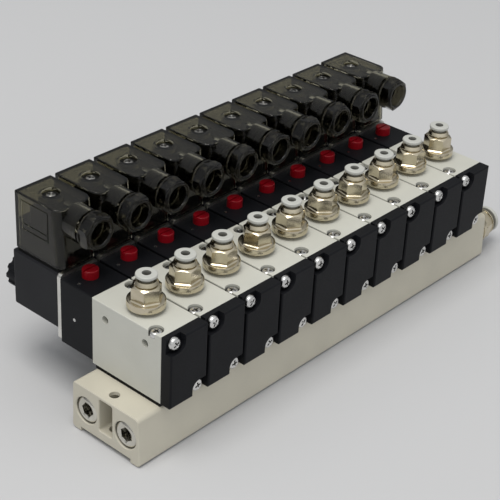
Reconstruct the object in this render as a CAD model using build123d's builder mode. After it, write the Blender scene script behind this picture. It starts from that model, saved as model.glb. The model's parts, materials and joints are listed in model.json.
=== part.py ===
from build123d import *
import math
import os
from collections import namedtuple

# A ten station pneumatic valve island: 3/2 solenoid valves side by side on one aluminium base.
# Millimetres. X runs along the base, -Y faces the black end covers, +Y the coils, +Z is up.
# The origin is the centre of the underside of the base.

# Row of valves
STATIONS = 10
PITCH = 23.0
VALVE_WIDTH = 22.0
END_MARGIN = 24.0
BASE_LENGTH = (STATIONS - 1) * PITCH + 2 * END_MARGIN
STATION_X = [(i - (STATIONS - 1) / 2) * PITCH for i in range(STATIONS)]

# Small clearances: drawn threads and seats, moving fits, stops
THREAD_GAP = 0.05
RUNNING_GAP = 0.05
STOP_GAP = 0.2

# Base extrusion
BASE_DEPTH = 42.0
BASE_HEIGHT = 24.7
BASE_FRONT_LEAN = 1.1
BASE_BACK_LEAN = 0.6
BASE_EDGE_ROUND = 2.0
CHANNEL_WIDTH = 31.0
CHANNEL_HEIGHT = 2.3
SLOT_WIDTH = 8.1
SLOT_BOTTOM = 6.6
SLOT_TOP = 23.0
SLOT_CORNER_ROUND = 0.8
GALLERY_Y = 12.0
GALLERY_Z = 12.8
GALLERY_R = 5.0
END_PORT_DEPTH = 11.0
END_PORT_CHAMFER = 0.4
MOUNT_HOLE_R = 2.4
MOUNT_HOLE_INSET = 5.5

# Socket plugs at the left end of both galleries
PLUG_RECESS = 0.3
PLUG_SOCKET_FLATS = 6.0
PLUG_SOCKET_DEPTH = 5.5
PLUG_CHAMFER = 0.7

# Gasket under each valve
GASKET_THICKNESS = 1.7
GASKET_INSET = 0.3
GASKET_BACK = 20.1

# Valve body
BODY_FRONT = -19.6
BODY_BACK = 22.0
BODY_HEIGHT = 33.8
BODY_CHAMFER = 0.25
BODY_BOTTOM = BASE_HEIGHT + GASKET_THICKNESS
BODY_TOP = BODY_BOTTOM + BODY_HEIGHT
AXIS_Z = (BODY_BOTTOM + BODY_TOP) / 2
OUTLET_Y = 0.4
OUTLET_DRILL_R = 2.5
SUPPLY_PORT_Y = -7.5
EXHAUST_PORT_Y = 9.7
PORT_R = 2.0
SIDE_HOLE_R = 1.9
SIDE_HOLES_Y = (-10.3, 13.7)
SIDE_HOLE_DROP = 7.5

# Spool, its bore and its seals
SPOOL_BORE_R = 4.5
SPOOL_WAIST_R = 2.2
SPOOL_STROKE = 3.0
SPOOL_FRONT = -15.5
SPOOL_WAIST_FRONT = -3.8
SPOOL_WAIST_BACK = 9.4
SEAL_WIDTH = 1.0
SEAL_DEPTH = 1.4
SEALS_Y = (-12.0, -4.75, 7.0, 15.5)

# Screws: pan heads with a cross recess
SCREW_R = 1.5
SCREW_HOLE_GAP = 0.1
HEAD_R = 3.0
HEAD_HEIGHT = 2.4
HEAD_ROUND = 0.8
RECESS_DEPTH = 1.1
RECESS_SPAN = 3.0
RECESS_WIDTH = 0.75

# The two screws that hold each valve down on the base
HOLD_DOWN_SPOTS = ((-8.3, -14.1), (8.3, 17.6))
COUNTERBORE_R = 3.3
HOLD_DOWN_HEAD_DROP = 0.5
HOLD_DOWN_GRIP = 5.2

# Front cover
COVER_THICKNESS = 5.9
COVER_WIDTH = 21.6
COVER_EDGE_ROUND = 0.8
COVER_FLANGE = 2.5
COVER_SCREW_X = 6.8
COVER_SCREW_EDGE = 3.3
COVER_SCREW_GRIP = 1.7
COVER_POCKET_WIDTH = 8.4
COVER_POCKET_HEIGHT = 7.2
COVER_POCKET_ROUND = 4.2
SPRING_POCKET_R = 4.2
SPRING_POCKET_DEPTH = 4.0

# Pilot block with its manual override button
PILOT_WIDTH = 21.8
PILOT_DEPTH = 20.1
PILOT_BOTTOM = 27.6
PILOT_TOP = 60.4
PILOT_EDGE_ROUND = 0.5
PILOT_BACK = BODY_BACK + PILOT_DEPTH
NOZZLE_R = 1.0
ARMATURE_CHAMBER_R = 4.2
ARMATURE_CHAMBER_DEPTH = 2.1
OVERRIDE_Y = 34.9
OVERRIDE_R = 3.75
OVERRIDE_RISE = 4.1
OVERRIDE_REACH = 4.6
OVERRIDE_TRAVEL = 2.0
OVERRIDE_ROUND = 0.5
OVERRIDE_SLOT_WIDTH = 1.0
OVERRIDE_SLOT_DEPTH = 0.9
OVERRIDE_SPRING_POCKET_R = 2.4
OVERRIDE_SPRING_POCKET_DEPTH = 4.4
PILOT_PLUG_R = 0.8
PILOT_PLUG_LENGTH = 1.6
PILOT_PLUG_PROUD = 0.15
PILOT_PLUG_X = -8.0
PILOT_PLUG_Y = 33.3
PILOT_SCREW_SPOTS = ((-7.2, 55.5), (4.8, 31.4))
PILOT_SCREW_GRIP = 5.8
PILOT_SCREW_SINK = 3.0

# Steel plate between the pilot block and the coil
PLATE_THICKNESS = 2.3
PLATE_BOTTOM = 28.0
PLATE_TOP = 62.0
PLATE_WIDTH = 21.6
PLATE_CORNER_ROUND = 2.0
PLATE_BACK = PILOT_BACK + PLATE_THICKNESS

# Coil, the tube through it and its nut
COIL_WIDTH = 21.8
COIL_LENGTH = 29.3
COIL_BOTTOM = 33.7
COIL_TOP = 62.0
COIL_EDGE_ROUND = 1.0
COIL_BACK = PLATE_BACK + COIL_LENGTH
TUBE_R = 4.5
TUBE_WALL = 0.5
TUBE_FLANGE_R = 6.5
TUBE_FLANGE_THICKNESS = 2.0
TUBE_STEM_R = 3.5
STEM_SHORTFALL = 1.2
ARMATURE_LENGTH = 18.2
ARMATURE_GAP = 0.1
ARMATURE_STROKE = 1.1
ARMATURE_SPRING_HOLE_R = 2.3
ARMATURE_SPRING_HOLE_DEPTH = 6.0
COIL_NUT_R = 8.4
COIL_NUT_LENGTH = 8.6
COIL_NUT_LOBES = 11
COIL_NUT_SCALLOP_R = 1.5
COIL_NUT_SCALLOP_DEPTH = 1.0

# Flat contact pins on top of the coil, in the order x, y, width along X, width along Y
PIN_THICKNESS = 0.8
PIN_WIDTH = 6.3
PIN_SUNK = 3.0
PIN_RISE = 8.0
PIN_GAP = 0.15
PINS = ((0.0, 51.0, PIN_WIDTH, PIN_THICKNESS),
        (0.0, 64.6, PIN_WIDTH, PIN_THICKNESS),
        (6.6, 57.8, PIN_THICKNESS, PIN_WIDTH))

# Plug connector housing on the coil, with the neck that takes the cable gland
CONNECTOR_GASKET_THICKNESS = 2.0
CONNECTOR_GASKET_WIDTH = 19.4
CONNECTOR_GASKET_FRONT = 44.6
CONNECTOR_GASKET_BACK = 71.0
HOUSING_WIDTH = 20.8
HOUSING_FRONT = 41.3
HOUSING_FRONT_LEAN = 2.6
HOUSING_BACK = 71.8
HOUSING_HEIGHT = 28.0
HOUSING_WALL = 1.6
HOUSING_FRONT_ROUND = 4.3
HOUSING_BACK_ROUND = 0.8
HOUSING_BACK_INNER_ROUND = 0.4
HOUSING_TOP_ROUND = 0.6
HOUSING_BOTTOM = COIL_TOP + CONNECTOR_GASKET_THICKNESS
HOUSING_TOP = HOUSING_BOTTOM + HOUSING_HEIGHT
FRAME_FRONT = 50.0
FRAME_BACK = 67.3
FRAME_BOTTOM = 74.3
FRAME_TOP = 89.0
FRAME_LINE = 0.7
FRAME_RISE = 0.3
FRAME_BAR_UP = 3.2
NECK_R = 8.2
NECK_BORE_R = 6.6
NECK_Z = 84.4
NECK_FRONT = 35.3
NECK_BACK = 49.4
NECK_BACK_BEVEL = 1.0
NECK_BORE_LENGTH = 10.1
WELL_Y = 59.6
WELL_R = 4.2
WELL_WALL = 1.2
WELL_DEPTH = 2.9
CONNECTOR_SCREW_GRIP = 6.0

# Terminal block inside the housing
BLOCK_GAP = 0.2
BLOCK_FRONT = 44.6
BLOCK_SHOULDER = 15.2
BLOCK_TOWER_FRONT = 46.0
BLOCK_TOWER_BACK = 62.4
CABLE_SPACE_R = 4.6
CABLE_SPACE_LENGTH = 8.4

# Cable gland screwed into the neck
GLAND_SHANK_LENGTH = 5.0
GLAND_FLANGE_R = 8.4
GLAND_FLANGE_THICKNESS = 1.4
GLAND_FLANGE_GAP = 0.7
GLAND_FLATS = 15.4
GLAND_HEX_LENGTH = 4.8
GLAND_NOSE_R = 7.0
GLAND_NOSE_LENGTH = 0.9
GLAND_BORE_R = 5.3
GLAND_BORE_BEVEL = 0.7
GLAND_SEAL_HOLE_R = 3.2
GLAND_SEAL_LENGTH = 4.8

# Springs are drawn as far closed as the moving piece closes them
SPRING_WIRE_R = 0.3
SPRING_TURNS = 5

# Push-in tube fittings. Heights are measured from the face that the flange sits on. The tube's seat,
# its seal and the release ring all have the bore seat_r, a running fit on the tube.
Fitting = namedtuple("Fitting", "thread_r thread_length neck_r flange_r flange_bottom flange_top "
                     "hex_flats hex_top collar_r collar_top bore_r seat_r seat_bottom seat_top "
                     "seal_height flow_r ring_r ring_height travel")
OUTLET = Fitting(thread_r=4.8, thread_length=6.5, neck_r=5.6, flange_r=8.45, flange_bottom=1.7,
                 flange_top=5.0, hex_flats=12.0, hex_top=11.6, collar_r=4.9, collar_top=14.4, bore_r=3.15,
                 seat_r=2.05, seat_bottom=1.6, seat_top=7.0, seal_height=1.1, flow_r=1.8,
                 ring_r=4.8, ring_height=1.7, travel=1.0)
SUPPLY = Fitting(thread_r=6.5, thread_length=10.0, neck_r=8.0, flange_r=8.8, flange_bottom=0.6,
                 flange_top=3.4, hex_flats=14.4, hex_top=9.4, collar_r=7.0, collar_top=12.8, bore_r=5.55,
                 seat_r=4.05, seat_bottom=-4.0, seat_top=4.0, seal_height=1.4, flow_r=3.6,
                 ring_r=7.1, ring_height=2.0, travel=1.1)
RING_STOP_GAP = 0.3
TUBE_SEAL_GAP = 0.05
RING_ROUND = 0.6
TAP_RUNOUT = 0.5
PORT_THREAD_R = SUPPLY.thread_r + THREAD_GAP

os.makedirs("parts", exist_ok=True)


def write(piece, name):
    piece.part.label = name
    export_step(piece.part, f"parts/{name}.step")


def at_stations(piece):
    """The same piece at every valve, as one group of separate solids."""
    with BuildPart() as group:
        with Locations(*[(x, 0, 0) for x in STATION_X]):
            add(piece.part)
    return group


def write_each(piece, name):
    """The same piece at every valve, each in a node of its own."""
    for number, x in enumerate(STATION_X, start=1):
        with BuildPart() as copy:
            with Locations((x, 0, 0)):
                add(piece.part)
        write(copy, f"{name}_{number:02d}")


def along_y(y, x=0.0, z=AXIS_Z):
    """A sketch plane that faces +Y, with its centre on the valve's long axis or at x, z."""
    return Plane(origin=(x, y, z), x_dir=(1, 0, 0), z_dir=(0, 1, 0))


def pan_screw(seat, up, head_r, length):
    """A pan head screw whose head stands on seat, towards up, with its shank the other way."""
    seat_plane = Plane(origin=seat, z_dir=up)
    with BuildPart() as screw:
        with BuildSketch(seat_plane):
            Circle(head_r)
        extrude(amount=HEAD_HEIGHT)
        fillet(screw.faces().sort_by(Axis(seat, up))[-1].edges(), HEAD_ROUND)
        with BuildSketch(seat_plane.offset(HEAD_HEIGHT)):
            Rectangle(RECESS_SPAN, RECESS_WIDTH)
            Rectangle(RECESS_WIDTH, RECESS_SPAN)
        extrude(amount=-RECESS_DEPTH, mode=Mode.SUBTRACT)
        with BuildSketch(seat_plane):
            Circle(SCREW_R)
        extrude(amount=-length)
    return screw


def coil_spring(outer_r, seat, direction, length):
    """A round wire spring that stands on seat and reaches length along direction."""
    height = length - 2 * SPRING_WIRE_R
    path = Helix(pitch=height / SPRING_TURNS, height=height, radius=outer_r - SPRING_WIRE_R)
    with BuildPart() as upright:
        with BuildSketch(Plane(origin=path @ 0, z_dir=path % 0)):
            Circle(SPRING_WIRE_R)
        sweep(path=path, is_frenet=True)
    with BuildPart() as spring:
        with Locations(Plane(origin=seat, z_dir=direction).offset(SPRING_WIRE_R).location):
            add(upright.part)
    return spring


def bevelled_hexagon(flats, bottom, top):
    """A hexagon prism along Z whose top corners are turned off at 30 degrees."""
    corner_r = flats / math.sqrt(3)
    bevel = (corner_r - flats / 2) * math.tan(math.radians(30))
    with BuildPart() as prism:
        with BuildSketch(Plane.XY.offset(bottom)):
            RegularPolygon(corner_r, 6)
        extrude(amount=top - bottom)
        with BuildSketch(Plane.XZ):
            with BuildLine():
                Polyline((0, bottom), (corner_r, bottom), (corner_r, top - bevel), (flats / 2, top),
                         (0, top), close=True)
            make_face()
        revolve(axis=Axis.Z, mode=Mode.INTERSECT)
    return prism


def fitting_body(spec):
    """The turned and milled brass body of a push-in fitting, upright on the plane z = 0."""
    hexagon = bevelled_hexagon(spec.hex_flats, spec.flange_top, spec.hex_top)
    with BuildPart() as body:
        with BuildSketch(Plane.XZ):
            with BuildLine():
                Polyline((0, -spec.thread_length), (spec.thread_r, -spec.thread_length),
                         (spec.thread_r, 0), (spec.neck_r, 0), (spec.neck_r, spec.flange_bottom),
                         (spec.flange_r, spec.flange_bottom), (spec.flange_r, spec.flange_top),
                         (spec.collar_r, spec.flange_top), (spec.collar_r, spec.collar_top),
                         (0, spec.collar_top), close=True)
            make_face()
        revolve(axis=Axis.Z)
        add(hexagon.part)
        with BuildSketch(Plane.XZ):
            with BuildLine():
                Polyline((0, -spec.thread_length), (spec.flow_r, -spec.thread_length),
                         (spec.flow_r, spec.seat_bottom), (spec.seat_r, spec.seat_bottom),
                         (spec.seat_r, spec.seat_top), (spec.bore_r, spec.seat_top),
                         (spec.bore_r, spec.collar_top), (0, spec.collar_top), close=True)
            make_face()
        revolve(axis=Axis.Z, mode=Mode.SUBTRACT)
    return body


def release_ring(spec):
    """The plastic ring that is pressed down to free the tube, with its sleeve in the fitting."""
    ring_bottom = spec.collar_top + spec.travel + RING_STOP_GAP
    ring_top = ring_bottom + spec.ring_height
    sleeve_bottom = spec.seat_top + spec.seal_height + spec.travel + RING_STOP_GAP
    with BuildPart() as ring:
        with BuildSketch(Plane.XY.offset(ring_bottom)):
            Circle(spec.ring_r)
        extrude(amount=spec.ring_height)
        fillet(ring.edges(), RING_ROUND)
        with BuildSketch(Plane.XY.offset(sleeve_bottom)):
            Circle(spec.bore_r - RUNNING_GAP)
        extrude(amount=ring_bottom + spec.ring_height / 2 - sleeve_bottom)
        with BuildSketch(Plane.XY.offset(ring_top)):
            Circle(spec.seat_r)
        extrude(amount=sleeve_bottom - ring_top, mode=Mode.SUBTRACT)
    return ring


def tube_seal(spec):
    """The rubber ring at the foot of the sleeve bore of a push-in fitting."""
    with BuildPart() as seal:
        with BuildSketch(Plane.XY.offset(spec.seat_top)):
            Circle(spec.bore_r - TUBE_SEAL_GAP)
            Circle(spec.seat_r, mode=Mode.SUBTRACT)
        extrude(amount=spec.seal_height)
    return seal


# Base extrusion with its ports and threads
half_depth = BASE_DEPTH / 2
with BuildPart() as manifold_base:
    with BuildSketch(Plane.YZ.offset(-BASE_LENGTH / 2)) as base_section:
        with BuildLine():
            Polyline((-half_depth, 0), (half_depth, 0), (half_depth - BASE_BACK_LEAN, BASE_HEIGHT),
                     (-half_depth + BASE_FRONT_LEAN, BASE_HEIGHT), close=True)
        make_face()
        fillet(base_section.vertices().group_by(Axis.Z)[-1], BASE_EDGE_ROUND)
        Rectangle(CHANNEL_WIDTH, 2 * CHANNEL_HEIGHT, mode=Mode.SUBTRACT)
        with Locations((0, (SLOT_BOTTOM + SLOT_TOP) / 2)):
            RectangleRounded(SLOT_WIDTH, SLOT_TOP - SLOT_BOTTOM, SLOT_CORNER_ROUND, mode=Mode.SUBTRACT)
        with Locations((-GALLERY_Y, GALLERY_Z), (GALLERY_Y, GALLERY_Z)):
            Circle(GALLERY_R, mode=Mode.SUBTRACT)
    extrude(amount=BASE_LENGTH)
    for end, inward in ((-BASE_LENGTH / 2, 1), (BASE_LENGTH / 2, -1)):
        with BuildSketch(Plane.YZ.offset(end)):
            with Locations((-GALLERY_Y, GALLERY_Z), (GALLERY_Y, GALLERY_Z)):
                Circle(PORT_THREAD_R)
        extrude(amount=inward * END_PORT_DEPTH, mode=Mode.SUBTRACT)
        rims = manifold_base.edges().filter_by(GeomType.CIRCLE).filter_by_position(
            Axis.X, end - 0.01, end + 0.01)
        chamfer(rims, END_PORT_CHAMFER)
    with BuildSketch(Plane.XY.offset(BASE_HEIGHT)):
        with GridLocations(BASE_LENGTH - 2 * MOUNT_HOLE_INSET, 0, 2, 1):
            Circle(MOUNT_HOLE_R)
    extrude(amount=-BASE_HEIGHT, mode=Mode.SUBTRACT)
    with BuildSketch(Plane.XY.offset(BASE_HEIGHT)):
        with Locations(*[(x + sx, sy) for x in STATION_X for sx, sy in HOLD_DOWN_SPOTS]):
            Circle(SCREW_R + THREAD_GAP)
    extrude(amount=-HOLD_DOWN_GRIP - STOP_GAP, mode=Mode.SUBTRACT)
    with BuildSketch(Plane.XY.offset(BASE_HEIGHT)):
        with Locations(*[(x, y) for x in STATION_X for y in (SUPPLY_PORT_Y, EXHAUST_PORT_Y)]):
            Circle(PORT_R)
    extrude(amount=GALLERY_Z - BASE_HEIGHT, mode=Mode.SUBTRACT)
write(manifold_base, "manifold_base")

# Two socket plugs that close the galleries at the left end
with BuildPart() as end_plugs:
    with BuildSketch(Plane.YZ.offset(PLUG_RECESS - BASE_LENGTH / 2)):
        with Locations((-GALLERY_Y, GALLERY_Z), (GALLERY_Y, GALLERY_Z)):
            Circle(SUPPLY.thread_r)
    extrude(amount=END_PORT_DEPTH - PLUG_RECESS)
    chamfer(end_plugs.faces().group_by(Axis.X)[0].edges(), PLUG_CHAMFER)
    with BuildSketch(Plane.YZ.offset(PLUG_RECESS - BASE_LENGTH / 2)):
        with Locations((-GALLERY_Y, GALLERY_Z), (GALLERY_Y, GALLERY_Z)):
            RegularPolygon(PLUG_SOCKET_FLATS / math.sqrt(3), 6)
    extrude(amount=PLUG_SOCKET_DEPTH, mode=Mode.SUBTRACT)
write(end_plugs, "end_plugs")

# Supply fitting in the front gallery at the right end
supply_seat = Plane(origin=(BASE_LENGTH / 2, -GALLERY_Y, GALLERY_Z), z_dir=(1, 0, 0)).location
with BuildPart() as supply_fitting:
    with Locations(supply_seat):
        add(fitting_body(SUPPLY).part)
write(supply_fitting, "supply_fitting")

with BuildPart() as supply_release_ring:
    with Locations(supply_seat):
        add(release_ring(SUPPLY).part)
write(supply_release_ring, "supply_release_ring")

# Gasket between the base and a valve
with BuildPart() as valve_gasket:
    with BuildSketch(Plane.XY.offset(BASE_HEIGHT)):
        gasket_front = BODY_FRONT + GASKET_INSET
        with Locations((0, (gasket_front + GASKET_BACK) / 2)):
            Rectangle(VALVE_WIDTH - 2 * GASKET_INSET, GASKET_BACK - gasket_front)
        with Locations((0, SUPPLY_PORT_Y), (0, EXHAUST_PORT_Y)):
            Circle(PORT_R, mode=Mode.SUBTRACT)
        with Locations(*HOLD_DOWN_SPOTS):
            Circle(SCREW_R + SCREW_HOLE_GAP, mode=Mode.SUBTRACT)
    extrude(amount=GASKET_THICKNESS)
write(at_stations(valve_gasket), "valve_gaskets")

# Valve body with its spool bore, ports, seal grooves and screw holes
cover_screw_spots = ((-COVER_SCREW_X, BODY_TOP - COVER_SCREW_EDGE),
                     (COVER_SCREW_X, BODY_BOTTOM + COVER_SCREW_EDGE))
with BuildPart() as valve_body:
    with BuildSketch(Plane.XY.offset(BODY_BOTTOM)):
        with Locations((0, (BODY_FRONT + BODY_BACK) / 2)):
            Rectangle(VALVE_WIDTH, BODY_BACK - BODY_FRONT)
    extrude(amount=BODY_HEIGHT)
    chamfer(valve_body.edges().filter_by(Axis.Y) + valve_body.edges().filter_by(Axis.Z), BODY_CHAMFER)
    with BuildSketch(along_y(BODY_FRONT)):
        Circle(SPOOL_BORE_R)
    extrude(amount=BODY_BACK - BODY_FRONT, mode=Mode.SUBTRACT)
    for y in SEALS_Y:
        with BuildSketch(along_y(y - SEAL_WIDTH / 2)):
            Circle(SPOOL_BORE_R + SEAL_DEPTH + THREAD_GAP)
        extrude(amount=SEAL_WIDTH, mode=Mode.SUBTRACT)
    with BuildSketch(Plane.XY.offset(BODY_BOTTOM)):
        with Locations((0, SUPPLY_PORT_Y), (0, EXHAUST_PORT_Y)):
            Circle(PORT_R)
    extrude(amount=AXIS_Z - BODY_BOTTOM, mode=Mode.SUBTRACT)
    with BuildSketch(Plane.XY.offset(BODY_TOP)):
        with Locations((0, OUTLET_Y)):
            Circle(OUTLET_DRILL_R)
    extrude(amount=AXIS_Z - BODY_TOP, mode=Mode.SUBTRACT)
    with BuildSketch(Plane.XY.offset(BODY_TOP)):
        with Locations((0, OUTLET_Y)):
            Circle(OUTLET.thread_r + THREAD_GAP)
    extrude(amount=-OUTLET.thread_length - TAP_RUNOUT, mode=Mode.SUBTRACT)
    with BuildSketch(Plane.YZ.offset(-VALVE_WIDTH / 2)):
        with Locations(*[(y, BODY_TOP - SIDE_HOLE_DROP) for y in SIDE_HOLES_Y]):
            Circle(SIDE_HOLE_R)
    extrude(amount=VALVE_WIDTH, mode=Mode.SUBTRACT)
    with BuildSketch(Plane.XY.offset(BODY_TOP)):
        with Locations(*HOLD_DOWN_SPOTS):
            Circle(SCREW_R + SCREW_HOLE_GAP)
    extrude(amount=-BODY_HEIGHT, mode=Mode.SUBTRACT)
    with BuildSketch(Plane.XY.offset(BODY_TOP)):
        with Locations(*HOLD_DOWN_SPOTS):
            Circle(COUNTERBORE_R)
    extrude(amount=-HEAD_HEIGHT - HOLD_DOWN_HEAD_DROP, mode=Mode.SUBTRACT)
    for x, z in cover_screw_spots:
        with BuildSketch(along_y(BODY_FRONT, x, z)):
            Circle(SCREW_R + THREAD_GAP)
        extrude(amount=COVER_SCREW_GRIP + STOP_GAP, mode=Mode.SUBTRACT)
    for x, z in PILOT_SCREW_SPOTS:
        with BuildSketch(along_y(BODY_BACK, x, z)):
            Circle(SCREW_R + THREAD_GAP)
        extrude(amount=-PILOT_SCREW_GRIP - STOP_GAP, mode=Mode.SUBTRACT)
write(at_stations(valve_body), "valve_bodies")

# Sliding spool with its two lands and waist
spool_back = BODY_BACK - STOP_GAP
with BuildPart() as spool:
    with BuildSketch(along_y(SPOOL_FRONT)):
        Circle(SPOOL_BORE_R - RUNNING_GAP)
    extrude(amount=spool_back - SPOOL_FRONT)
    with BuildSketch(along_y(SPOOL_WAIST_FRONT)):
        Circle(SPOOL_BORE_R)
        Circle(SPOOL_WAIST_R, mode=Mode.SUBTRACT)
    extrude(amount=SPOOL_WAIST_BACK - SPOOL_WAIST_FRONT, mode=Mode.SUBTRACT)
write_each(spool, "spool")

# Rubber rings in the grooves of the spool bore
with BuildPart() as spool_seal_set:
    for y in SEALS_Y:
        with BuildSketch(along_y(y - SEAL_WIDTH / 2)):
            Circle(SPOOL_BORE_R + SEAL_DEPTH)
            Circle(SPOOL_BORE_R, mode=Mode.SUBTRACT)
        extrude(amount=SEAL_WIDTH)
write(at_stations(spool_seal_set), "spool_seals")

# Spring in front of the spool
spool_spring_length = SPRING_POCKET_DEPTH + SPOOL_FRONT - BODY_FRONT - SPOOL_STROKE - STOP_GAP
spool_spring = coil_spring(SPRING_POCKET_R - STOP_GAP, (0, BODY_FRONT - SPRING_POCKET_DEPTH, AXIS_Z),
                           (0, 1, 0), spool_spring_length)
write(at_stations(spool_spring), "spool_springs")

# The two screws that hold a valve down
with BuildPart() as hold_down_pair:
    seat_z = BODY_TOP - HEAD_HEIGHT - HOLD_DOWN_HEAD_DROP
    for x, y in HOLD_DOWN_SPOTS:
        add(pan_screw((x, y, seat_z), (0, 0, 1), HEAD_R, seat_z - BASE_HEIGHT + HOLD_DOWN_GRIP).part)
write(at_stations(hold_down_pair), "hold_down_screws")

# Front cover with its two corner pockets and the seat of the spool spring
cover_front = BODY_FRONT - COVER_THICKNESS
with BuildPart() as front_cover:
    with BuildSketch(along_y(cover_front)):
        Rectangle(COVER_WIDTH, BODY_HEIGHT)
    extrude(amount=COVER_THICKNESS)
    fillet(front_cover.faces().sort_by(Axis.Y)[0].edges(), COVER_EDGE_ROUND)
    for side in (-1, 1):
        corner_x = side * COVER_WIDTH / 2
        corner_z = AXIS_Z - side * BODY_HEIGHT / 2
        with BuildSketch(along_y(cover_front, corner_x, corner_z)) as pocket:
            Rectangle(2 * COVER_POCKET_WIDTH, 2 * COVER_POCKET_HEIGHT)
            fillet(pocket.vertices(), COVER_POCKET_ROUND)
        extrude(amount=COVER_THICKNESS - COVER_FLANGE, mode=Mode.SUBTRACT)
    for x, z in cover_screw_spots:
        with BuildSketch(along_y(cover_front, x, z)):
            Circle(SCREW_R + SCREW_HOLE_GAP)
        extrude(amount=COVER_THICKNESS, mode=Mode.SUBTRACT)
    with BuildSketch(along_y(BODY_FRONT)):
        Circle(SPRING_POCKET_R)
    extrude(amount=-SPRING_POCKET_DEPTH, mode=Mode.SUBTRACT)
write(at_stations(front_cover), "front_covers")

# The two screws of a front cover
with BuildPart() as cover_screw_pair:
    for x, z in cover_screw_spots:
        add(pan_screw((x, BODY_FRONT - COVER_FLANGE, z), (0, -1, 0), HEAD_R,
                      COVER_FLANGE + COVER_SCREW_GRIP).part)
write(at_stations(cover_screw_pair), "cover_screws")

# Outlet fitting on top of a valve, its release ring and its seal
outlet_seat = Location((0, OUTLET_Y, BODY_TOP))
with BuildPart() as outlet_fitting:
    with Locations(outlet_seat):
        add(fitting_body(OUTLET).part)
write(at_stations(outlet_fitting), "outlet_fittings")

with BuildPart() as outlet_ring:
    with Locations(outlet_seat):
        add(release_ring(OUTLET).part)
write_each(outlet_ring, "release_ring")

with BuildPart() as outlet_seal:
    with Locations(outlet_seat):
        add(tube_seal(OUTLET).part)
with BuildPart() as tube_seals:
    add(at_stations(outlet_seal).part)
    with Locations(supply_seat):
        add(tube_seal(SUPPLY).part)
write(tube_seals, "tube_seals")

# Pilot block with its button bore, armature chamber and screw seats
override_floor = PILOT_TOP - OVERRIDE_REACH - OVERRIDE_TRAVEL - STOP_GAP
tube_seat_y = PILOT_BACK - TUBE_FLANGE_THICKNESS
chamber_front = tube_seat_y - ARMATURE_CHAMBER_DEPTH
with BuildPart() as pilot_block:
    with BuildSketch(Plane.XY.offset(PILOT_BOTTOM)):
        with Locations((0, (BODY_BACK + PILOT_BACK) / 2)):
            Rectangle(PILOT_WIDTH, PILOT_DEPTH)
    extrude(amount=PILOT_TOP - PILOT_BOTTOM)
    fillet(pilot_block.edges().filter_by(Axis.Y), PILOT_EDGE_ROUND)
    with BuildSketch(Plane.XY.offset(PILOT_TOP)):
        with Locations((0, OVERRIDE_Y)):
            Circle(OVERRIDE_R + RUNNING_GAP)
    extrude(amount=override_floor - PILOT_TOP, mode=Mode.SUBTRACT)
    with BuildSketch(Plane.XY.offset(override_floor)):
        with Locations((0, OVERRIDE_Y)):
            Circle(OVERRIDE_SPRING_POCKET_R)
    extrude(amount=-OVERRIDE_SPRING_POCKET_DEPTH, mode=Mode.SUBTRACT)
    with BuildSketch(Plane.XY.offset(PILOT_TOP)):
        with Locations((PILOT_PLUG_X, PILOT_PLUG_Y)):
            Circle(PILOT_PLUG_R)
    extrude(amount=-PILOT_PLUG_LENGTH, mode=Mode.SUBTRACT)
    with BuildSketch(Plane.YZ.offset(-PILOT_WIDTH / 2)):
        with Locations((PILOT_PLUG_Y, AXIS_Z)):
            Circle(PILOT_PLUG_R)
    extrude(amount=PILOT_PLUG_LENGTH, mode=Mode.SUBTRACT)
    with BuildSketch(along_y(PILOT_BACK)):
        Circle(TUBE_FLANGE_R + THREAD_GAP)
    extrude(amount=-TUBE_FLANGE_THICKNESS, mode=Mode.SUBTRACT)
    with BuildSketch(along_y(tube_seat_y)):
        Circle(ARMATURE_CHAMBER_R)
    extrude(amount=-ARMATURE_CHAMBER_DEPTH, mode=Mode.SUBTRACT)
    with BuildSketch(along_y(chamber_front)):
        Circle(NOZZLE_R)
    extrude(amount=BODY_BACK - chamber_front, mode=Mode.SUBTRACT)
    for x, z in PILOT_SCREW_SPOTS:
        with BuildSketch(along_y(PILOT_BACK, x, z)):
            Circle(SCREW_R + SCREW_HOLE_GAP)
        extrude(amount=-PILOT_DEPTH, mode=Mode.SUBTRACT)
        with BuildSketch(along_y(PILOT_BACK, x, z)):
            Circle(HEAD_R + SCREW_HOLE_GAP)
        extrude(amount=-PILOT_SCREW_SINK, mode=Mode.SUBTRACT)
write(at_stations(pilot_block), "pilot_blocks")

# Steel plugs that close the drilled passages of a pilot block
with BuildPart() as pilot_plug_pair:
    with BuildSketch(Plane.XY.offset(PILOT_TOP + PILOT_PLUG_PROUD)):
        with Locations((PILOT_PLUG_X, PILOT_PLUG_Y)):
            Circle(PILOT_PLUG_R)
    extrude(amount=-PILOT_PLUG_LENGTH - PILOT_PLUG_PROUD)
    with BuildSketch(Plane.YZ.offset(-PILOT_WIDTH / 2 - PILOT_PLUG_PROUD)):
        with Locations((PILOT_PLUG_Y, AXIS_Z)):
            Circle(PILOT_PLUG_R)
    extrude(amount=PILOT_PLUG_LENGTH + PILOT_PLUG_PROUD)
write(at_stations(pilot_plug_pair), "pilot_plugs")

# Screws that hold a pilot block on its valve body
with BuildPart() as pilot_screw_pair:
    for x, z in PILOT_SCREW_SPOTS:
        add(pan_screw((x, PILOT_BACK - PILOT_SCREW_SINK, z), (0, 1, 0), HEAD_R,
                      PILOT_DEPTH - PILOT_SCREW_SINK + PILOT_SCREW_GRIP).part)
write(at_stations(pilot_screw_pair), "pilot_screws")

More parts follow.
